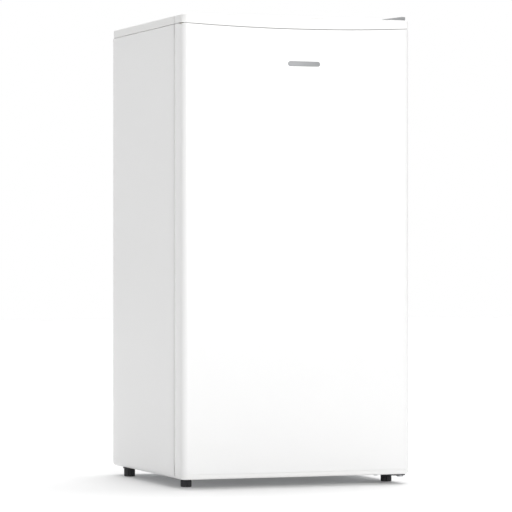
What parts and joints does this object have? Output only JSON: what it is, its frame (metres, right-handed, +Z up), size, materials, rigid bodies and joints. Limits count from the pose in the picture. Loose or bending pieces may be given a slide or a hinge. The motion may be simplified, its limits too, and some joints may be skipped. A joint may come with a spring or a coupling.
{
  "type": "mini fridge",
  "caption": "White free-standing compact refrigerator with a right-hinged door, inner shelves, a crisper drawer, levelling feet and a rear condenser.",
  "frame": {"origin": "centre of the base, on the floor under the feet", "axes": "+Z up, the door faces -Y, +X to the right of someone facing the door"},
  "size_m": [0.44, 0.43, 0.855],
  "materials": {
    "white_steel": "gloss",
    "white_plastic": "satin",
    "liner_plastic": "satin",
    "gasket": "matte",
    "foam": "matte",
    "zinc_steel": "satin",
    "hinge_steel": "satin",
    "grey_plastic": "satin",
    "black_plastic": "satin",
    "foot_plastic": "satin",
    "rubber": "matte",
    "black_paint": "satin",
    "copper": "polished",
    "aluminium": "satin",
    "shelf_glass": "polished",
    "clear_plastic": "gloss",
    "diffuser": "satin"
  },
  "bodies": {
    "cabinet": {"side_panel_left": "white_steel", "side_panel_right": "white_steel", "top_panel": "white_steel", "worktop": "white_plastic", "crisper_cover_trim": "white_plastic", "shelf_middle_trim": "white_plastic", "shelf_upper_trim": "white_plastic", "thermostat_housing": "white_plastic", "drain_tube": "white_plastic", "inner_liner": "liner_plastic", "insulation_foam": "foam", "base_plate": "zinc_steel", "back_panel": "zinc_steel", "compressor_bay_panel": "zinc_steel", "compressor_tray": "zinc_steel", "top_hinge_pin": "zinc_steel", "bottom_hinge_pin": "zinc_steel", "bottom_hinge_screw_front": "zinc_steel", "bottom_hinge_screw_rear": "zinc_steel", "top_hinge_bracket": "hinge_steel", "bottom_hinge_bracket": "hinge_steel", "top_hinge_cover": "grey_plastic", "terminal_box": "black_plastic", "drip_pan": "black_plastic", "power_cable_gland": "black_plastic", "condenser_clip_left": "black_plastic", "condenser_clip_right": "black_plastic", "rear_foot_left": "foot_plastic", "rear_foot_right": "foot_plastic", "compressor_grommet_1": "rubber", "compressor_grommet_2": "rubber", "compressor_grommet_3": "rubber", "compressor_grommet_4": "rubber", "compressor": "black_paint", "condenser": "black_paint", "discharge_tube": "copper", "filter_drier": "copper", "liquid_tube": "copper", "capillary_tube": "copper", "suction_tube": "copper", "evaporator_plate": "aluminium", "crisper_cover_glass": "shelf_glass", "shelf_middle_glass": "shelf_glass", "shelf_upper_glass": "shelf_glass", "lamp_cover": "diffuser", "lamp_bulb": "diffuser"},
    "door": {"door_skin": "white_steel", "door_foam": "foam", "door_top_cap": "white_plastic", "door_bottom_cap": "white_plastic", "door_liner": "liner_plastic", "door_gasket": "gasket", "door_shelf_bottom": "clear_plastic", "door_shelf_middle": "clear_plastic", "door_shelf_top": "clear_plastic", "badge_plate": "aluminium"},
    "crisper": {"crisper_drawer": "clear_plastic"},
    "knob": {"thermostat_knob": "white_plastic"},
    "foot_left": {"front_foot_left": "foot_plastic"},
    "foot_right": {"front_foot_right": "foot_plastic"}
  },
  "joints": [
    {"name": "door_hinge", "type": "hinge", "parent": "cabinet", "child": "door", "pos_m": [0.208, -0.194, 0.43], "axis": [0, 0, 1], "range_deg": [0, 135]},
    {"name": "crisper_slide", "type": "slide", "parent": "cabinet", "child": "crisper", "axis": [0, -1, 0], "range_m": [0, 0.0755]},
    {"name": "thermostat_turn", "type": "hinge", "parent": "cabinet", "child": "knob", "pos_m": [0.15, -0.004, 0.731], "axis": [-1, 0, 0], "range_deg": [0, 270]},
    {"name": "foot_left_screw", "type": "slide", "parent": "cabinet", "child": "foot_left", "axis": [0, 0, 1], "range_m": [-0.015, 0]},
    {"name": "foot_right_screw", "type": "slide", "parent": "cabinet", "child": "foot_right", "axis": [0, 0, 1], "range_m": [-0.015, 0]}
  ],
  "couplings": [
    {"joint": "crisper_slide", "follows": "door_hinge", "m_per_rad": 0.031831}
  ]
}
